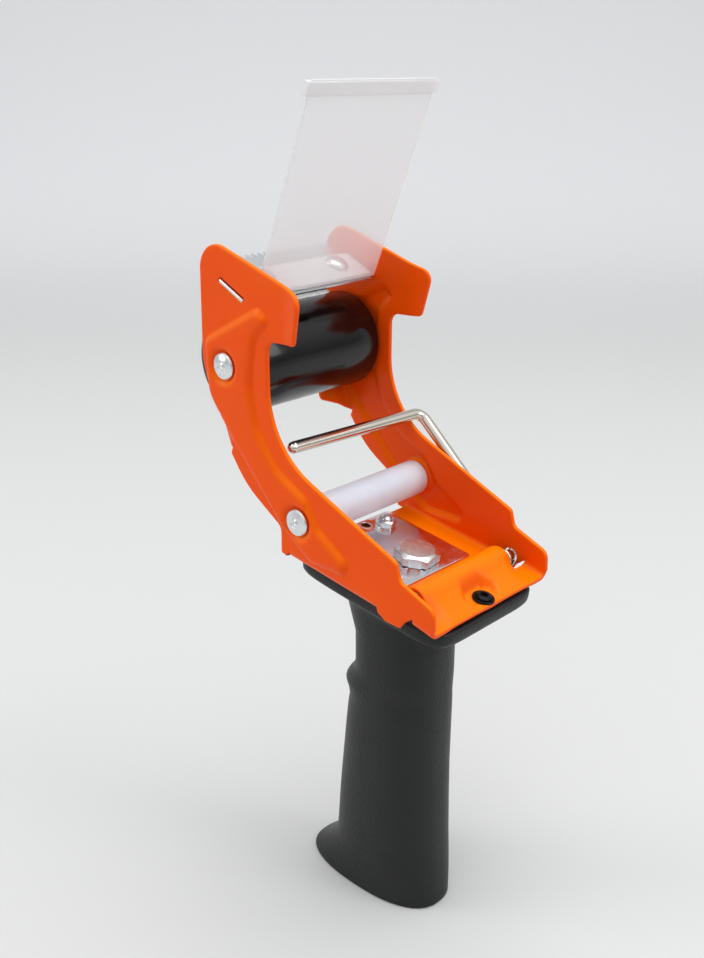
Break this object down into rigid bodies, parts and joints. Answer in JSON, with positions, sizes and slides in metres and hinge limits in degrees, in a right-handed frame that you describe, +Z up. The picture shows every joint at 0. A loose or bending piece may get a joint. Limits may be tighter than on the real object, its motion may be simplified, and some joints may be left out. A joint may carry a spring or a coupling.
{
  "type": "hand-held tape dispenser",
  "caption": "Pistol-grip parcel tape dispenser with a bent sheet frame, rubber and guide rollers, serrated blade, clear guard flap and sprung wire arm.",
  "frame": {"origin": "on the table, under the middle of the grip's flat base", "axes": "+Z up the grip, +Y across the tape towards the wire arm's outside leg, +X towards the rear lip, -X towards the blade and rubber roller"},
  "size_m": [0.0987, 0.0616, 0.259],
  "materials": {
    "orange_powder_coat": "satin powder coat on bent steel sheet",
    "black_grip_plastic": "fine matte texture",
    "black_rubber": "smooth, slightly glossy",
    "milky_nylon": "moulded, satin",
    "zinc_plated_steel": "bright zinc plate",
    "bright_steel": "bright drawn or ground steel",
    "blackened_steel": "blackened, satin",
    "clear_plastic": "clear, slightly milky sheet"
  },
  "bodies": {
    "dispenser_body": {"frame": "orange_powder_coat", "handle": "black_grip_plastic", "handle_insert": "zinc_plated_steel", "handle_bolt": "bright_steel", "floor_plate": "zinc_plated_steel", "near_stud": "bright_steel", "far_stud": "bright_steel", "near_stud_nut": "zinc_plated_steel", "far_stud_nut": "zinc_plated_steel", "lip_screw": "blackened_steel", "front_axle": "zinc_plated_steel", "guide_axle": "zinc_plated_steel", "front_spacer_near": "milky_nylon", "front_spacer_far": "milky_nylon", "blade_bracket": "zinc_plated_steel", "blade": "bright_steel", "guard_base": "clear_plastic", "guard_rivet_near": "zinc_plated_steel", "guard_rivet_far": "zinc_plated_steel", "arm_spring": "bright_steel"},
    "front_roller": {"front_roller_rubber": "black_rubber", "front_roller_core": "black_grip_plastic"},
    "guide_roller": {"guide_roller": "milky_nylon"},
    "guard_flap": {"guard_flap": "clear_plastic"},
    "tape_arm": {"tape_arm": "bright_steel", "arm_retainer": "zinc_plated_steel"}
  },
  "joints": [
    {"name": "front_roller_spin", "type": "hinge", "parent": "dispenser_body", "child": "front_roller", "pos_m": [-0.0402, 0, 0.1777], "axis": [0, 1, 0], "continuous": true},
    {"name": "guide_roller_spin", "type": "hinge", "parent": "dispenser_body", "child": "guide_roller", "pos_m": [-0.0093, 0, 0.1358], "axis": [0, 1, 0], "continuous": true},
    {"name": "guard_flex", "type": "hinge", "parent": "dispenser_body", "child": "guard_flap", "pos_m": [-0.0279, 0, 0.1999], "axis": [0, 1, 0], "range_deg": [-20, 25], "stiffness_Nm_per_rad": 0.08},
    {"name": "tape_arm_swing", "type": "hinge", "parent": "dispenser_body", "child": "tape_arm", "pos_m": [0.0295, 0, 0.1196], "axis": [0, 1, 0], "range_deg": [0, 95], "stiffness_Nm_per_rad": 0.02, "springref_deg": -28.65}
  ]
}
